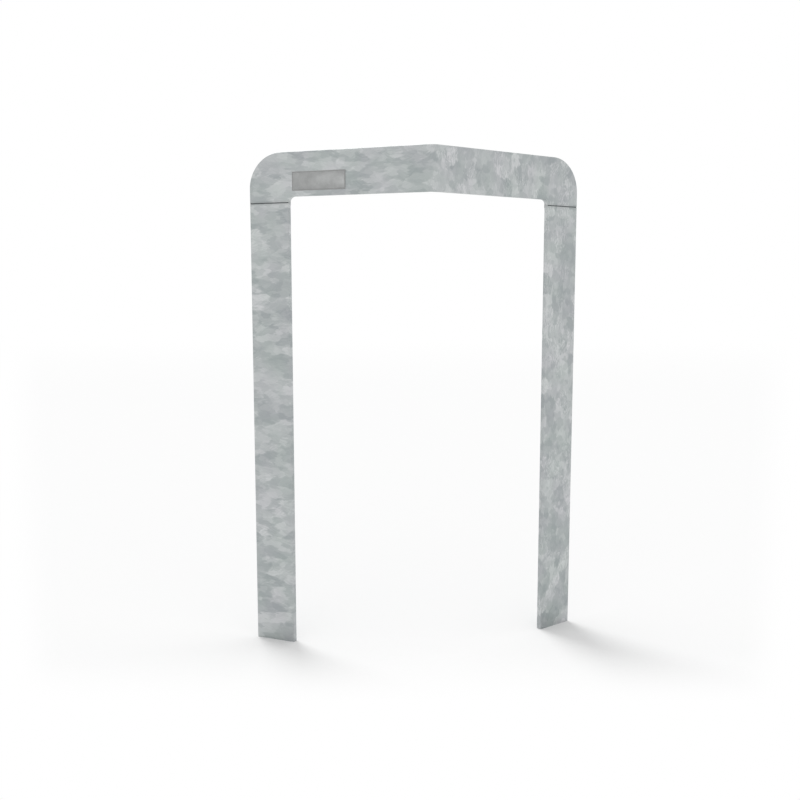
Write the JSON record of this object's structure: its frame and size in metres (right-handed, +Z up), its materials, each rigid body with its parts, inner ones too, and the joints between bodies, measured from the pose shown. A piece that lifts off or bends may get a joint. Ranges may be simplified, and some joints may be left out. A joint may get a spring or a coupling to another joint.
{
  "type": "hoop bike rack",
  "caption": "Inverted-U hoop of galvanised flat steel, folded to a V in plan, with legs that are set into the ground, for leaning and locking bicycles.",
  "frame": {"origin": "at ground level, midway between the centre lines of the two legs", "axes": "+Z up; -Y to the front, where the fold points; +X to the right seen from the front"},
  "size_m": [0.6042, 0.1811, 1.14],
  "materials": {
    "galvanised_plate": "hot-dip galvanised, light grey zinc with a soft spangle",
    "galvanised_bar": "hot-dip galvanised, light grey zinc with a soft spangle",
    "galvanised_weld": "hot-dip galvanised weld metal, slightly darker"
  },
  "bodies": {
    "root": {"head": "galvanised_plate", "left_leg": "galvanised_bar", "right_leg": "galvanised_bar", "left_weld": "galvanised_weld", "right_weld": "galvanised_weld"}
  },
  "joints": []
}
